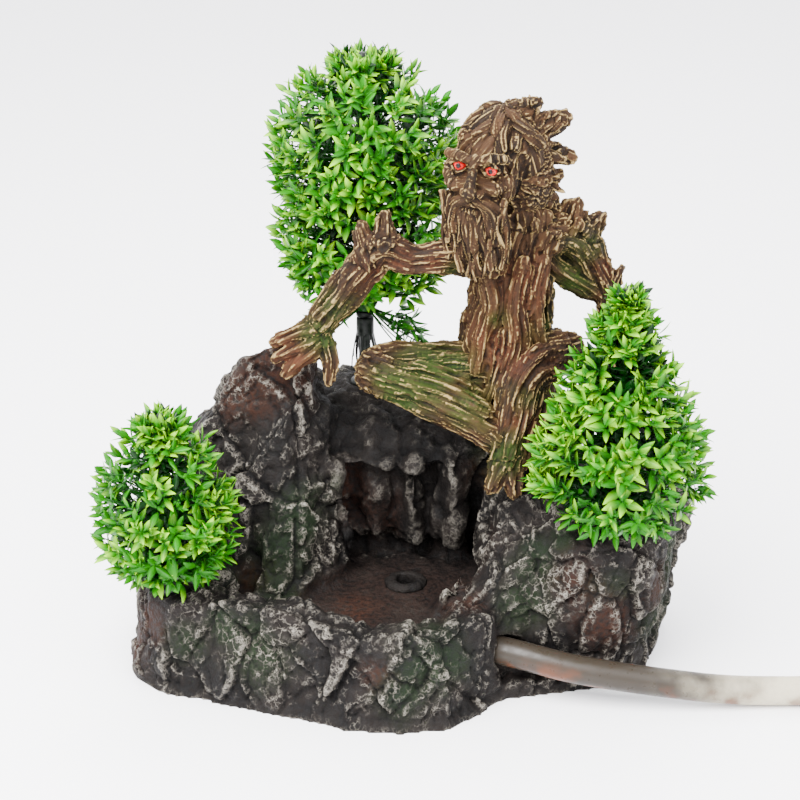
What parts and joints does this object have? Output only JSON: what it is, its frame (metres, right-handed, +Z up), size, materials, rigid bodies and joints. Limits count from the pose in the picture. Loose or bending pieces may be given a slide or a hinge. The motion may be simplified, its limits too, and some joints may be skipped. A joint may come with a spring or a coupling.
{
  "type": "bubbling ornament",
  "caption": "Cast rock basin with a waterfall wall, a seated bark figure with a face, clip-in plastic plants and a hose that feeds a pool outlet.",
  "frame": {"origin": "middle of the base on the surface it stands on, at the centre of the ornament's width and depth without its hose", "axes": "+Z up, +X to the viewer's right, +Y to the back, so the pool's open front faces -Y"},
  "size_m": [0.552, 0.203, 0.292],
  "materials": {
    "rock": "matt painted cast resin, dry-brushed",
    "bark": "matt painted cast resin, dry-brushed",
    "eye_red": "gloss paint",
    "hose": "satin flexible hose",
    "leaf": "satin soft plastic",
    "dark_plastic": "satin moulded plastic"
  },
  "bodies": {
    "ornament": {"rock_casting": "rock", "figure_torso": "bark", "figure_head": "bark", "arm_left": "bark", "arm_right": "bark", "leg_left": "bark", "leg_right": "bark", "eye_left": "eye_red", "eye_right": "eye_red", "bubble_outlet": "dark_plastic", "feed_pipe": "dark_plastic", "hose_run": "hose", "hose_coil": "hose", "tree_socket": "dark_plastic", "right_socket": "dark_plastic", "left_socket": "dark_plastic"},
    "tree_trunk": {"tree_stem": "dark_plastic", "tree_roots": "dark_plastic"},
    "right_bush": {"right_stem": "dark_plastic"},
    "left_bush": {"left_stem": "dark_plastic"},
    "tree_tier_1": {"tree_spray_1": "leaf"},
    "tree_tier_2": {"tree_spray_2": "leaf"},
    "tree_tier_3": {"tree_spray_3": "leaf"},
    "tree_tier_4": {"tree_spray_4": "leaf"},
    "tree_tier_5": {"tree_spray_5": "leaf"},
    "right_tier_1": {"right_spray_1": "leaf"},
    "right_tier_2": {"right_spray_2": "leaf"},
    "right_tier_3": {"right_spray_3": "leaf"},
    "right_tier_4": {"right_spray_4": "leaf"},
    "left_tier_1": {"left_spray_1": "leaf"},
    "left_tier_2": {"left_spray_2": "leaf"},
    "left_tier_3": {"left_spray_3": "leaf"}
  },
  "joints": [
    {"name": "tree_lift_out", "type": "slide", "parent": "ornament", "child": "tree_trunk", "axis": [0, 0, 1], "range_m": [0, 0.025]},
    {"name": "right_lift_out", "type": "slide", "parent": "ornament", "child": "right_bush", "axis": [0, 0, 1], "range_m": [0, 0.025]},
    {"name": "left_lift_out", "type": "slide", "parent": "ornament", "child": "left_bush", "axis": [0, 0, 1], "range_m": [0, 0.025]},
    {"name": "tree_turn_1", "type": "hinge", "parent": "tree_trunk", "child": "tree_tier_1", "pos_m": [-0.018, 0.0475, 0], "axis": [0, 0, 1], "continuous": true},
    {"name": "tree_turn_2", "type": "hinge", "parent": "tree_trunk", "child": "tree_tier_2", "pos_m": [-0.018, 0.0475, 0], "axis": [0, 0, 1], "continuous": true},
    {"name": "tree_turn_3", "type": "hinge", "parent": "tree_trunk", "child": "tree_tier_3", "pos_m": [-0.018, 0.0475, 0], "axis": [0, 0, 1], "continuous": true},
    {"name": "tree_turn_4", "type": "hinge", "parent": "tree_trunk", "child": "tree_tier_4", "pos_m": [-0.018, 0.0475, 0], "axis": [0, 0, 1], "continuous": true},
    {"name": "tree_turn_5", "type": "hinge", "parent": "tree_trunk", "child": "tree_tier_5", "pos_m": [-0.018, 0.0475, 0], "axis": [0, 0, 1], "continuous": true},
    {"name": "right_turn_1", "type": "hinge", "parent": "right_bush", "child": "right_tier_1", "pos_m": [0.103, -0.048, 0], "axis": [0, 0, 1], "continuous": true},
    {"name": "right_turn_2", "type": "hinge", "parent": "right_bush", "child": "right_tier_2", "pos_m": [0.103, -0.048, 0], "axis": [0, 0, 1], "continuous": true},
    {"name": "right_turn_3", "type": "hinge", "parent": "right_bush", "child": "right_tier_3", "pos_m": [0.103, -0.048, 0], "axis": [0, 0, 1], "continuous": true},
    {"name": "right_turn_4", "type": "hinge", "parent": "right_bush", "child": "right_tier_4", "pos_m": [0.103, -0.048, 0], "axis": [0, 0, 1], "continuous": true},
    {"name": "left_turn_1", "type": "hinge", "parent": "left_bush", "child": "left_tier_1", "pos_m": [-0.112, -0.046, 0], "axis": [0, 0, 1], "continuous": true},
    {"name": "left_turn_2", "type": "hinge", "parent": "left_bush", "child": "left_tier_2", "pos_m": [-0.112, -0.046, 0], "axis": [0, 0, 1], "continuous": true},
    {"name": "left_turn_3", "type": "hinge", "parent": "left_bush", "child": "left_tier_3", "pos_m": [-0.112, -0.046, 0], "axis": [0, 0, 1], "continuous": true}
  ]
}
